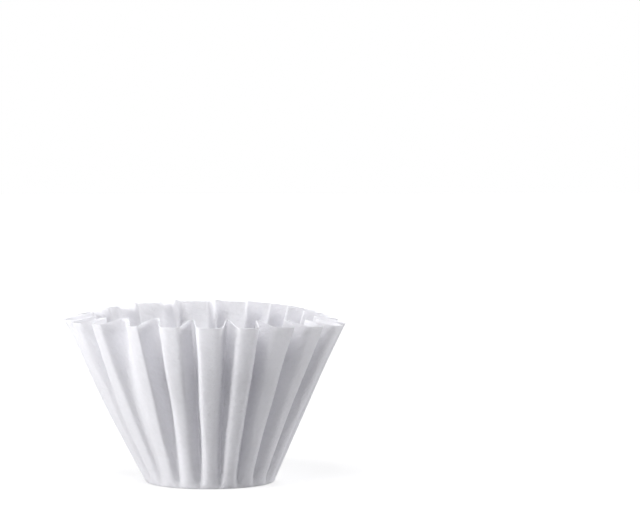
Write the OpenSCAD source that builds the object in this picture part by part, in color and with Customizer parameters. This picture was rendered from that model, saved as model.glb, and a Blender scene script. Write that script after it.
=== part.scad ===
// Fluted paper coffee filter with a flat base
//
// One round sheet of filter paper is pressed into a cup. The wall stands at a steady slope, so a
// circle drawn on the flat sheet has more paper than the cup has room for at that level. The flutes
// take up the rest: at every level their depth is worked out from the length of paper that is there,
// so the flutes start from nothing at the base edge and the cup would open out to the flat sheet.

/* [Sheet] */
// Diameter of the round sheet when it lies flat
sheet_d = 155; // [145:1:170]
// Thickness of the paper
paper_t = 0.2; // [0.12:0.02:0.3]
// How far off the middle of the sheet the cup is pressed, so that the mouth is higher on one side
press_offset = 0.6; // [0:0.1:2]
// Direction of the high side of the mouth, in degrees, with 0 at the front and 90 at the right
press_side = -90; // [-180:5:180]

/* [Cup] */
// Diameter of the flat base
base_d = 40.6; // [34:0.1:50]
// Diameter of the mouth over the flutes
mouth_d = 87.2; // [80:0.1:96]
// How far the inward folds stand up above the edge of the flutes, at the front
fold_rise = 2; // [0:0.1:3]
// Share of that rise which the folds at the back lack
back_ease = 0.45; // [0:0.05:0.8]
// How much shorter the wall is at the left and right than at the front and back
side_dip = 2; // [0:0.1:4]
// How much steeper the wall stands on one side, in degrees
steep_more = 3; // [0:0.1:5]
// Direction of the steep side, in degrees
steep_turn = 160; // [-180:5:180]
// How much of the way round is steep, in degrees
steep_width = 130; // [60:5:180]
// How far the wall bellies out on one side
belly_reach = 2.2; // [0:0.1:4]
// Direction of the belly, in degrees
belly_turn = -92; // [-180:1:180]
// How much of the way round the belly takes up, in degrees
belly_width = 90; // [40:5:160]
// How far the lobes flare out at the mouth on one side
flare_reach = 1.5; // [0:0.1:3]
// Direction of the flare, in degrees
flare_turn = 68; // [-180:1:180]
// How much of the way round the flare takes up, in degrees
flare_width = 44; // [20:2:120]

/* [Flutes] */
// Number of flutes
flutes = 20; // [16:1:22]
// Direction of one inward fold, in degrees, with 0 at the front and 90 at the right
fold_turn = -67; // [-180:0.5:180]
// How much broader the outward lobes are than the inward folds, as a share of a flute
lobe_breadth = 0.09; // [0:0.01:0.12]
// How upright the sides of a flute stand at the mouth, as a share of a flute
side_slope = 0.03; // [0:0.005:0.05]
// How flat the lobes are across at the mouth, where 1 is a plain wave and more narrows the folds
lobe_flatness = 2; // [1:0.1:2.4]
// How far the lobes lean over to the left at the mouth, as a share of a flute
lobe_lean = 0.05; // [0:0.01:0.1]
// Share of the paper that the softest fold lets go to the others halfway up
soft_share = 0.34; // [0:0.02:0.36]
// Direction of the softest fold, in degrees
soft_turn = -58; // [-180:1:180]
// How much of the way round is soft, in degrees
soft_width = 45; // [20:5:120]

/* [Squeezed lobes] */
// How much narrower the most squeezed lobe is at the mouth, as a share of a flute
squeeze = 0.16; // [0:0.01:0.16]
// How far that lobe is pushed over to the right, as a share of a flute
push = 0.3; // [0:0.01:0.3]
// Direction of the squeeze, in degrees
squeeze_turn = -40; // [-180:1:180]
// How much of the way round is squeezed, in degrees
squeeze_width = 45; // [20:5:120]

/* [Spread of the flutes] */
// How far the flutes crowd towards one side of the cup, in degrees
crowd_1 = 4.6; // [0:0.1:5]
// How far they crowd towards two sides
crowd_2 = 2.4; // [0:0.1:2.5]
// How far they crowd towards three sides
crowd_3 = 2.3; // [0:0.1:2.5]
// Lead of the first spread, in degrees
lead_1 = 109; // [0:1:360]
// Lead of the second spread, in degrees
lead_2 = 276; // [0:1:360]
// Lead of the third spread, in degrees
lead_3 = 114; // [0:1:360]

/* [Bent flute] */
// Direction of the flute whose edge is bent outward, in degrees
bent_turn = -94; // [-180:1:180]
// How far its edge is bent outward
bent_reach = 1.9; // [0:0.1:4]
// How much of the mouth the bend takes up, in degrees
bent_width = 16; // [8:1:40]

/* [Hidden] */

base_r = base_d / 2;
mouth_r = mouth_d / 2;
slant = (sheet_d - base_d) / 2;
lean = acos((mouth_r - base_r) / slant);

// Points along one flute, and levels between the base edge and the mouth
steps = 14;
levels = 9;
columns = flutes * steps;
// The levels crowd towards the base, where the flutes begin
crowding = 1.6;
function level(k) = pow(k / levels, crowding);

// The belly takes up this much of a half wave, so that it is widest about two thirds of the way up
belly_arc = 140;
// How late the flare and the bend set in on the way up, and how narrow the dips at the sides are
flare_power = 3;
bend_power = 10;
dip_power = 4;

// Place of a fold on the cup, with the uneven spread of the flutes added
function spread(a) = a + crowd_1 * sin(a + lead_1) + crowd_2 * sin(2 * a + lead_2)
    + crowd_3 * sin(3 * a + lead_3);
function fold_at(i) = spread(fold_turn + i * 360 / flutes);

// One flute runs from an inward fold at u = 0 over the lobe at u = 0.5 to the next fold at u = 1.
// How far in the paper lies, from 0 on the lobe to 1 at the fold. At the base the flutes are a plain
// wave, and the lobes grow flatter towards the mouth.
function inward(u, f) = pow((1 + cos(360 * u)) / 2, 1 + (lobe_flatness - 1) * f);
// How far round the flute the paper has come, with a lobe of the given breadth that leans over
function along(u, f, breadth, over) =
    u - breadth * sin(360 * u) + side_slope * sqrt(f) * sin(720 * u) - over * pow(sin(180 * u), 2);

// How much of a local change is felt at direction a, from 1 at its middle to nearly 0 past its ends
function felt(a, middle, width) =
    let (d = a - middle, off = d - 360 * round(d / 360)) exp(-pow(2 * off / width, 2));

// Breadth of lobe i, and how far it leans over, at level f
function squeezed(i) = felt(spread(fold_turn + (i + 0.5) * 360 / flutes), squeeze_turn, squeeze_width);
function breadth(i, f) = lobe_breadth - squeeze * squeezed(i) * sqrt(f);
function over(i, f) = (lobe_lean - push * squeezed(i)) * sqrt(f);

// Length of paper in one flute of the given depth, with its lobe at radius r. The form holds the
// pitch of the flute, the breadth of its lobes, how far they lean over and the rise of its fold.
function flute_point(u, f, r, depth, form) =
    let (q = r - depth * inward(u, f), a = along(u, f, form[1], form[2]) * form[0])
    [q * cos(a), q * sin(a), form[3] * f * inward(u, f)];
function flute_length(f, r, depth, form, n = 32) =
    let (p = [for (i = [0 : n]) flute_point(i / n, f, r, depth, form)])
    sum([for (i = [1 : n]) norm(p[i] - p[i - 1])]);
function sum(v, i = 0) = i < len(v) ? v[i] + sum(v, i + 1) : 0;

// Depth at which a flute holds the paper that the flat sheet has there, found by halving
function flute_depth(f, r, want, form, low, high, turns = 14) =
    turns == 0 ? (low + high) / 2 :
    let (mid = (low + high) / 2)
    flute_length(f, r, mid, form) < want
        ? flute_depth(f, r, want, form, mid, high, turns - 1)
        : flute_depth(f, r, want, form, low, mid, turns - 1);

// How far a fold in direction a stands up at the mouth
function rise_at(a) = fold_rise * (1 - back_ease * (1 - cos(a)) / 2);

// Share of the paper that fold i takes at level f. The shares of all the folds come to the whole.
function softened(i, f) = 1 - soft_share * felt(fold_at(i), soft_turn, soft_width) * sin(180 * f);
function share(i, f) = softened(i, f) * flutes / sum([for (n = [0 : flutes - 1]) softened(n, f)]);

// Depth of each inward fold at each level. Near the base the folds are alike, as they were pressed,
// and towards the mouth each takes its depth from the width of the flutes on either side of it.
pitch = 360 / flutes;
pitches = [for (i = [0 : flutes - 1]) (fold_at(i + 1) - fold_at(i - 1)) / 2];
function form(i, f) = [
    pitch + (pitches[i] - pitch) * sqrt(f),
    (breadth(i - 1, f) + breadth(i, f)) / 2,
    (over(i - 1, f) + over(i, f)) / 2,
    rise_at(fold_at(i))];
depths = [for (k = [0 : levels])
    let (f = level(k), r = base_r + (mouth_r - base_r) * f,
         want = 2 * PI * (base_r + slant * f) / flutes)
    [for (i = [0 : flutes - 1])
        k == 0 ? 0 : flute_depth(f, r, want * share(i, f), form(i, f), 0, r / 2)]];

// How far the wall stands out of its plain cone. The belly and the bend move lobes and folds alike,
// and the flare opens the lobes alone.
function bulge(a, f, u) = belly_reach * felt(a, belly_turn, belly_width) * sin(belly_arc * f)
    + flare_reach * felt(a, flare_turn, flare_width) * pow(f, flare_power) * (1 - inward(u, f))
    + bent_reach * felt(a, bent_turn, bent_width) * pow(f, bend_power);

// Length of the wall at direction a, from the base edge to the mouth
function wall_run(a) = slant + press_offset * cos(a - press_side) - side_dip * pow(sin(a), dip_power);
// Lean of the wall at direction a, up from the table
function lean_at(a) = lean + steep_more * felt(a, steep_turn, steep_width);

// A point of the outside of the wall: column j of level k
function wall_point(k, j) =
    let (i = floor(j / steps), u = j / steps - i, f = level(k),
         depth = u < 0.5 ? depths[k][i % flutes] : depths[k][(i + 1) % flutes],
         a = spread(fold_turn + (i + along(u, f, breadth(i, f), over(i, f))) * 360 / flutes),
         run = wall_run(a) * f,
         q = base_r + run * cos(lean_at(a)) - depth * inward(u, f) + bulge(a, f, u))
    [q * sin(a), -q * cos(a), run * sin(lean_at(a)) + rise_at(a) * f * inward(u, f)];

outside = [for (k = [0 : levels]) [for (j = [0 : columns - 1]) wall_point(k, j)]];

// Direction square to the paper, pointing into the cup
function inward_normal(k, j) =
    let (ring = outside[k],
         round_way = ring[(j + 1) % columns] - ring[(j + columns - 1) % columns],
         up_way = outside[min(k + 1, levels)][j] - outside[max(k - 1, 0)][j],
         n = cross(up_way, round_way))
    n / norm(n);

// The inside of the wall lies one paper thickness in. Its foot meets the top of the base.
foot_r = base_r - paper_t * tan(lean / 2);
inside = [for (k = [0 : levels]) [for (j = [0 : columns - 1])
    k == 0
        ? let (p = outside[0][j]) [p[0] * foot_r / base_r, p[1] * foot_r / base_r, paper_t]
        : outside[k][j] + paper_t * inward_normal(k, j)]];

function flat(rows) = [for (row = rows) for (p = row) p];
function side_faces(from, flip) = [for (k = [0 : levels - 1]) for (j = [0 : columns - 1])
    let (a = from + k * columns + j, b = from + k * columns + (j + 1) % columns,
         c = b + columns, d = a + columns)
    for (t = [[a, d, c], [a, c, b]]) flip ? [t[2], t[1], t[0]] : t];

module filter() {
    skin = (levels + 1) * columns;
    middle = 2 * skin;
    color("white")
    polyhedron(
        points = concat(flat(outside), flat(inside), [[0, 0, 0], [0, 0, paper_t]]),
        faces = concat(
            side_faces(0, false),
            side_faces(skin, true),
            // edge of the paper at the mouth
            [for (j = [0 : columns - 1])
                let (a = levels * columns + j, b = levels * columns + (j + 1) % columns)
                for (t = [[a, a + skin, b + skin], [a, b + skin, b]]) t],
            // flat base, under and upper side
            [for (j = [0 : columns - 1]) [middle, j, (j + 1) % columns]],
            [for (j = [0 : columns - 1]) [middle + 1, skin + (j + 1) % columns, skin + j]]),
        convexity = 12);
}

filter();
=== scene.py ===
import math

import bpy
import numpy as np
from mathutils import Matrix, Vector


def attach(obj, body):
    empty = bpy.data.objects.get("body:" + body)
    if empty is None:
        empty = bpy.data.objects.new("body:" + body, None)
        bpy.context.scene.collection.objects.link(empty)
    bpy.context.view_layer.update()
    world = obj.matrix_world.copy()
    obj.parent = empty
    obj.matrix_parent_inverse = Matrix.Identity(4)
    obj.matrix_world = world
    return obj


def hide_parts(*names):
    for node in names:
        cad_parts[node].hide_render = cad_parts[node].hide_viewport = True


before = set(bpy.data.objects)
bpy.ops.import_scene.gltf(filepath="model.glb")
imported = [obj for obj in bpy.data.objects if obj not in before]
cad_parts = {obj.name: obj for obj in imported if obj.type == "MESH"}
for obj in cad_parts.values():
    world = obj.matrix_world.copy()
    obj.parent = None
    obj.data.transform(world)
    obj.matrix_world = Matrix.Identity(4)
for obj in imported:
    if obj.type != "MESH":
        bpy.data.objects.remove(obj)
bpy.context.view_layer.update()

# Sizes in mm and degrees, as in the part's source. Directions count from the front, to the right.
SHEET_D, PAPER_T = 155.0, 0.2
PRESS_OFFSET, PRESS_SIDE = 0.6, -90
BASE_D, MOUTH_D, FOLD_RISE = 40.6, 87.2, 2.0
SIDE_DIP, BACK_EASE = 2.0, 0.45
STEEP_MORE, STEEP_TURN, STEEP_WIDTH = 3, 160, 130
BELLY_REACH, BELLY_TURN, BELLY_WIDTH = 2.2, -92, 90
FLARE_REACH, FLARE_TURN, FLARE_WIDTH = 1.5, 68, 44
FLUTES, FOLD_TURN = 20, -67
LOBE_BREADTH, SIDE_SLOPE, LOBE_FLATNESS, LOBE_LEAN = 0.09, 0.03, 2, 0.05
SOFT_SHARE, SOFT_TURN, SOFT_WIDTH = 0.34, -58, 45
SQUEEZE, PUSH, SQUEEZE_TURN, SQUEEZE_WIDTH = 0.16, 0.3, -40, 45
CROWD = ((4.6, 109), (2.4, 276), (2.3, 114))
BENT_TURN, BENT_REACH, BENT_WIDTH = -94, 1.9, 16
BELLY_ARC, FLARE_POWER, BEND_POWER, DIP_POWER = 140, 3, 10, 4

BASE_R, MOUTH_R = BASE_D / 2, MOUTH_D / 2
SLANT = (SHEET_D - BASE_D) / 2
LEAN = math.acos((MOUTH_R - BASE_R) / SLANT)
PITCH = 360 / FLUTES

# Only in this mesh: its points, the rounded base edge and the unevenness of real paper.
PER = 30             # columns along one flute
WALL_ROWS = 56       # levels between the base edge and the mouth
ROW_CROWD = 1.35     # above 1 the levels lie closer together near the base
BASE_ROWS = (10.0, 13.0, 15.5, 17.3, 18.6, 19.4)
EDGE = 0.5           # half the length of paper that bends at the base edge
BEGIN = 3.0          # length of paper over which the flutes begin above that edge
UNEVEN_OUT = 0.16    # mm in or out
UNEVEN_SIDE = 0.3    # degrees to the side
UNEVEN_FROM = 12     # length of paper above the base edge over which the unevenness grows
SAMPLES = 33         # points at which the length of a flute is measured
HALVINGS = 24        # steps in which its depth is found


def spread(a):
    """Direction of a flute that would be at a if all flutes were alike."""
    return a + sum(c * np.sin(np.radians((n + 1) * a + lead)) for n, (c, lead) in enumerate(CROWD))


def inward(u, f):
    """How far the sheet is folded in at place u of a flute: 1 at the fold, 0 at the middle of the lobe."""
    return ((1 + np.cos(2 * np.pi * u)) / 2) ** (1 + (LOBE_FLATNESS - 1) * f)


def along(u, f, squeezed):
    """Where on its flute the place u stands, as a share of the pitch."""
    breadth = LOBE_BREADTH - SQUEEZE * squeezed * math.sqrt(f)
    over = (LOBE_LEAN - PUSH * squeezed) * math.sqrt(f)
    return (u - breadth * np.sin(2 * np.pi * u) + SIDE_SLOPE * math.sqrt(f) * np.sin(4 * np.pi * u)
            - over * np.sin(np.pi * u) ** 2)


def rise(a):
    """How far a fold in direction a stands up at the mouth."""
    return FOLD_RISE * (1 - BACK_EASE * (1 - np.cos(np.radians(a))) / 2)


def flute_depth(f, pitch, share, up, squeezed):
    """Depth at which a flute of each pitch holds its share of the flat sheet's paper at level f."""
    r = BASE_R + (MOUTH_R - BASE_R) * f
    want = share * 2 * np.pi * (BASE_R + SLANT * f) / FLUTES
    u = np.linspace(0, 1, SAMPLES)
    low, high = np.zeros(len(pitch)), np.full(len(pitch), r / 2)
    for _ in range(HALVINGS):
        mid = (low + high) / 2
        q = r - mid[:, None] * inward(u, f)
        a = np.radians(along(u, f, squeezed[:, None]) * pitch[:, None])
        p = np.stack([q * np.cos(a), q * np.sin(a), up[:, None] * f * inward(u, f)], -1)
        length = np.linalg.norm(np.diff(p, axis=1), axis=2).sum(1)
        low, high = np.where(length < want, mid, low), np.where(length < want, high, mid)
    return low


def felt(a, middle, width):
    """1 in the direction middle, fading to nothing over about width degrees."""
    off = (a - middle + 180) % 360 - 180
    return np.exp(-(2 * off / width) ** 2)


def wander(u, v, seed, waves, low, high):
    """A smooth uneven field, about -1 to 1, over u round the cup, in radians, and v up the wall, in mm."""
    rng = np.random.default_rng(seed)
    total = 0
    for _ in range(waves):
        n, k = rng.integers(low, high), rng.uniform(0.03, 0.16)
        total = total + rng.normal() * np.sin(n * u + k * v + rng.uniform(0, 6.283)) * np.sin(
            0.5 * n * u - 0.7 * k * v + rng.uniform(0, 6.283))
    return total / math.sqrt(waves)


# The pressed sheet: column j of the mesh is place u of flute i.
columns = FLUTES * PER
j = np.arange(columns)
i, u = j // PER, (j % PER) / PER
turn = 2 * np.pi * j / columns
folds = spread(FOLD_TURN + np.arange(-1, FLUTES + 1) * PITCH)
pitches = (folds[2:] - folds[:-2]) / 2
folds = folds[1:-1]
lobes = spread(FOLD_TURN + (np.arange(FLUTES) + 0.5) * PITCH)


def ring(f):
    """Outside of the wall at level f: radius, direction in degrees, height."""
    squeezed = felt(lobes, SQUEEZE_TURN, SQUEEZE_WIDTH)
    if f > 0:
        share = 1 - SOFT_SHARE * felt(folds, SOFT_TURN, SOFT_WIDTH) * math.sin(math.pi * f)
        pitch = PITCH + (pitches - PITCH) * math.sqrt(f)
        either_side = (squeezed + np.roll(squeezed, 1)) / 2
        d = flute_depth(f, pitch, share / share.mean(), rise(folds), either_side)
    else:
        d = np.zeros(FLUTES)
    s = SLANT * f
    d = d * math.sqrt(min(1.0, s / BEGIN))
    depth = np.where(u < 0.5, d[i], d[(i + 1) % FLUTES])
    a = spread(FOLD_TURN + (i + along(u, f, squeezed[i])) * PITCH)
    run = f * (SLANT + PRESS_OFFSET * np.cos(np.radians(a - PRESS_SIDE))
               - SIDE_DIP * np.sin(np.radians(a)) ** DIP_POWER)
    lean = LEAN + np.radians(STEEP_MORE) * felt(a, STEEP_TURN, STEEP_WIDTH)
    grow = min(1.0, s / UNEVEN_FROM)
    q = (BASE_R + run * np.cos(lean) - depth * inward(u, f)
         + BELLY_REACH * felt(a, BELLY_TURN, BELLY_WIDTH) * math.sin(math.radians(BELLY_ARC * f))
         + FLARE_REACH * felt(a, FLARE_TURN, FLARE_WIDTH) * f ** FLARE_POWER * (1 - inward(u, f))
         + BENT_REACH * felt(a, BENT_TURN, BENT_WIDTH) * f ** BEND_POWER
         + UNEVEN_OUT * grow * wander(turn, s, seed=3, waves=14, low=9, high=46))
    a = a + UNEVEN_SIDE * grow * wander(turn, s, seed=5, waves=12, low=5, high=24)
    return q, a, run * np.sin(lean) + rise(a) * f * inward(u, f)


def bent(s):
    """Height on the rounded base edge, measured up the wall, of the paper that lies s past the edge."""
    return (s + EDGE) ** 2 / (4 * EDGE)


def outside_rows():
    """Each row of the outside face, with its distance from the middle of the flat sheet."""
    _, start, _ = ring(0.0)
    start = np.radians(start)
    spoke = np.stack([np.sin(start), -np.cos(start)], -1)
    for r in BASE_ROWS + (BASE_R - EDGE,):
        yield r, np.c_[spoke * r, np.zeros(columns)]
    up_wall = np.array([math.cos(LEAN) - 1, math.sin(LEAN)])
    for s in (-EDGE / 2, 0.0):
        out, up = bent(s) * up_wall
        yield BASE_R + s, np.c_[spoke * (BASE_R + s + out), np.full(columns, up)]
    for f in (np.arange(1, WALL_ROWS + 1) / WALL_ROWS) ** ROW_CROWD:
        s = SLANT * f
        q, a, z = ring(f)
        ar = np.radians(a)
        p = np.c_[q * np.sin(ar), -q * np.cos(ar), z]
        if s < EDGE:
            flat_on = np.c_[spoke * (BASE_R + s), np.zeros(columns)]
            p = flat_on + (p - flat_on) * bent(s) / s
        yield BASE_R + s, p


flat_r, outside = zip(*outside_rows())
flat_r, outside = np.array(flat_r), np.array(outside)

# Place on the flat sheet: the paper between a column and the first one along the rim, as an angle.
step = np.linalg.norm(np.roll(outside[-1], -1, 0) - outside[-1], axis=1)
flat_turn = np.concatenate([[0], np.cumsum(step)[:-1]]) / step.sum() * 2 * np.pi + math.radians(FOLD_TURN)

# The inside face lies one thickness of paper along the normal.
round_way = np.roll(outside, -1, 1) - np.roll(outside, 1, 1)
up_way = np.empty_like(outside)
up_way[1:-1] = outside[2:] - outside[:-2]
up_way[0], up_way[-1] = outside[1] - outside[0], outside[-1] - outside[-2]
normal = np.cross(up_way, round_way)
normal /= np.linalg.norm(normal, axis=2, keepdims=True)
inside = outside + PAPER_T * normal

count = len(outside)
points = np.concatenate([outside.reshape(-1, 3), inside.reshape(-1, 3)]) / 1000
k = np.arange(count - 1)[:, None]
a = k * columns + j[None, :]
b = k * columns + (j[None, :] + 1) % columns
skin = count * columns             # the inside face's first point
top = (count - 1) * columns        # the rim's first point
under = np.stack([a, b, b + columns, a + columns], -1).reshape(-1, 4)
upper = np.stack([a + skin, a + columns + skin, b + columns + skin, b + skin], -1).reshape(-1, 4)
brim = np.stack([top + j, top + (j + 1) % columns, top + skin + (j + 1) % columns, top + skin + j], -1)
quads = np.concatenate([under, upper, brim])
middles = [j[::-1].tolist(), (j + skin).tolist()]

mesh = bpy.data.meshes.new("filter_sheet")
mesh.from_pydata(points.tolist(), [], quads.tolist() + middles)
uv = mesh.uv_layers.new(name="sheet")
flat = np.stack([np.outer(flat_r, np.sin(flat_turn)), -np.outer(flat_r, np.cos(flat_turn))], -1)
flat = np.concatenate([flat, flat]).reshape(-1, 2) / SHEET_D + 0.5
corner = np.empty(len(mesh.loops), dtype=np.int32)
mesh.loops.foreach_get("vertex_index", corner)
uv.data.foreach_set("uv", flat[corner].astype(np.float32).ravel())
mesh.polygons.foreach_set("use_smooth", np.ones(len(mesh.polygons), dtype=bool))
# The two edges of the rim are cut sharp.
sharp = mesh.attributes.new("sharp_edge", "BOOLEAN", "EDGE")
ends = np.empty(2 * len(mesh.edges), dtype=np.int32)
mesh.edges.foreach_get("vertices", ends)
sharp.data.foreach_set("value", (ends.reshape(-1, 2) % skin >= top).all(1))
mesh.update()
mesh.validate()
piece = bpy.data.objects.new("pressed_sheet", mesh)
bpy.context.collection.objects.link(piece)


class Shader:
    """The node tree of a material or a world, with short ways to add and join nodes."""

    def __init__(self, owner):
        owner.use_nodes = True
        self.tree = owner.node_tree

    def add(self, kind, **inputs):
        node = self.tree.nodes.new("ShaderNode" + kind)
        for name, value in inputs.items():
            node.inputs[name.replace("_", " ")].default_value = value
        return node

    def join(self, out, into):
        self.tree.links.new(out, into)


def paper():
    mat = bpy.data.materials.new("filter_paper")
    sh = Shader(mat)
    face = sh.tree.nodes["Principled BSDF"]
    face.inputs["Roughness"].default_value = 0.92
    face.inputs["Specular IOR Level"].default_value = 0.18
    where = sh.add("TexCoord")
    sheet = sh.add("Mapping", Scale=(SHEET_D, SHEET_D, 1))      # millimetres on the flat sheet
    sh.join(where.outputs["UV"], sheet.inputs["Vector"])

    def noise(scale, detail, rough, stretch=(1, 1, 1), turn=0.0):
        m = sh.add("Mapping", Scale=stretch, Rotation=(0, 0, turn))
        sh.join(sheet.outputs["Vector"], m.inputs["Vector"])
        n = sh.add("TexNoise", Scale=scale, Detail=detail, Roughness=rough)
        sh.join(m.outputs["Vector"], n.inputs["Vector"])
        return n.outputs["Fac"]

    def mix(one, two, share):
        m = sh.add("Mix", Factor=share)
        m.data_type = "FLOAT"
        sh.join(one, m.inputs["A"])
        sh.join(two, m.inputs["B"])
        return m.outputs["Result"]

    crepe = noise(0.6, 3, 0.55, (0.4, 1.4, 1))      # fine wrinkles of the creped sheet, all one way
    mottle = noise(0.7, 4, 0.6)                     # uneven pulp
    fibre = noise(3.2, 3, 0.7, (1, 1.8, 1), 0.5)    # fibres on the face
    cloud = noise(0.12, 2, 0.5)                     # thicker and thinner places

    bump = sh.add("Bump", Strength=1.0, Distance=0.0007)
    sh.join(mix(mix(crepe, mottle, 0.4), fibre, 0.15), bump.inputs["Height"])
    sh.join(bump.outputs["Normal"], face.inputs["Normal"])

    ramp = sh.add("ValToRGB")
    thin, thick = ramp.color_ramp.elements
    thin.position, thin.color = 0.3, (0.905, 0.903, 0.924, 1)
    thick.position, thick.color = 0.7, (0.957, 0.955, 0.975, 1)
    sh.join(mix(mottle, cloud, 0.35), ramp.inputs["Fac"])
    sh.join(ramp.outputs["Color"], face.inputs["Base Color"])

    through = sh.add("BsdfTranslucent")             # light that comes through the sheet
    sh.join(ramp.outputs["Color"], through.inputs["Color"])
    sh.join(bump.outputs["Normal"], through.inputs["Normal"])
    both = sh.add("MixShader", Fac=0.48)
    sh.join(face.outputs[0], both.inputs[1])
    sh.join(through.outputs[0], both.inputs[2])
    sh.join(both.outputs[0], sh.tree.nodes["Material Output"].inputs["Surface"])
    return mat


piece.data.materials.append(paper())
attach(piece, "root")
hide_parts("filter")

# The world is white where the camera or a reflection sees it, and lights the cup only a little.
WHITE = (1, 1, 1, 1)
world = bpy.data.worlds.new("studio")
bpy.context.scene.world = world
sky = Shader(world)
sky.tree.nodes.clear()
seen = sky.add("Background", Color=WHITE, Strength=1.0)
light = sky.add("Background", Color=WHITE, Strength=0.06)
path = sky.add("LightPath")
is_seen = sky.add("Math")
is_seen.operation = "MAXIMUM"
sky.join(path.outputs["Is Camera Ray"], is_seen.inputs[0])
sky.join(path.outputs["Is Glossy Ray"], is_seen.inputs[1])
either = sky.add("MixShader")
sky.join(is_seen.outputs[0], either.inputs["Fac"])
sky.join(light.outputs[0], either.inputs[1])
sky.join(seen.outputs[0], either.inputs[2])
sky.join(either.outputs[0], sky.add("OutputWorld").inputs["Surface"])

# The floor is pale, a hair under the base, and lifted to white for the camera.
HALF, UNDER = 1.5, -1e-4
floor_mesh = bpy.data.meshes.new("floor")
floor_corners = [(-HALF, -HALF, UNDER), (HALF, -HALF, UNDER), (HALF, HALF, UNDER), (-HALF, HALF, UNDER)]
floor_mesh.from_pydata(floor_corners, [], [(0, 1, 2, 3)])
floor = bpy.data.objects.new("floor", floor_mesh)
bpy.context.collection.objects.link(floor)
floor_mat = bpy.data.materials.new("floor_white")
ground = Shader(floor_mat)
ground.tree.nodes.clear()
matt = ground.add("BsdfDiffuse", Color=(0.42, 0.42, 0.425, 1))
dark = ground.add("Emission", Strength=0.0)
glow = ground.add("Emission", Strength=0.62)
path = ground.add("LightPath")
lift = ground.add("MixShader")
ground.join(path.outputs["Is Camera Ray"], lift.inputs["Fac"])
ground.join(dark.outputs[0], lift.inputs[1])
ground.join(glow.outputs[0], lift.inputs[2])
total = ground.add("AddShader")
ground.join(matt.outputs[0], total.inputs[0])
ground.join(lift.outputs[0], total.inputs[1])
ground.join(total.outputs[0], ground.add("OutputMaterial").inputs["Surface"])
floor_mesh.materials.append(floor_mat)

# Lamps, seen from the cup: degrees from the front (right is plus), degrees above the table, size in m, watts.
LAMPS = {
    "key": (-66, 4, (0.8, 0.35), 46),
    "key_left": (-84, 5, (0.8, 0.4), 15),
    "high": (-20, 58, (1.2, 1.2), 40),
    "back_low": (180, 8, (2.0, 0.6), 40),
    "right_back": (142, 9, (1.0, 0.6), 20),
    "back_high": (180, 40, (1.2, 1.2), 16),
    "right": (86, 20, (1.2, 1.2), 38),
}
LAMP_AWAY = 2.5
MIDDLE = Vector((0, 0, 0.03))      # of the cup

for name, (turned, up, size, watts) in LAMPS.items():
    t, e = math.radians(turned), math.radians(up)
    away = LAMP_AWAY * Vector((math.sin(t) * math.cos(e), -math.cos(t) * math.cos(e), math.sin(e)))
    data = bpy.data.lights.new(name, "AREA")
    data.shape = "RECTANGLE"
    data.size, data.size_y = size
    data.energy = watts
    lamp = bpy.data.objects.new(name, data)
    lamp.location = MIDDLE + away
    lamp.rotation_euler = (-away).to_track_quat("-Z", "Y").to_euler()
    lamp.visible_camera = False
    bpy.context.collection.objects.link(lamp)

# The photograph's camera, fitted to the base and the rim.
camera_data = bpy.data.cameras.new("camera")
camera = bpy.data.objects.new("camera", camera_data)
bpy.context.collection.objects.link(camera)
bpy.context.scene.camera = camera
camera_data.sensor_width = 36
camera_data.lens = 4064 / 640 * 36
camera_data.clip_end = 100
camera.location = (0, -1.274, 0.1673)
camera.rotation_euler = (math.radians(90 - 4.445), 0, -math.radians(1.559))

bpy.context.scene.view_settings.view_transform = "Standard"
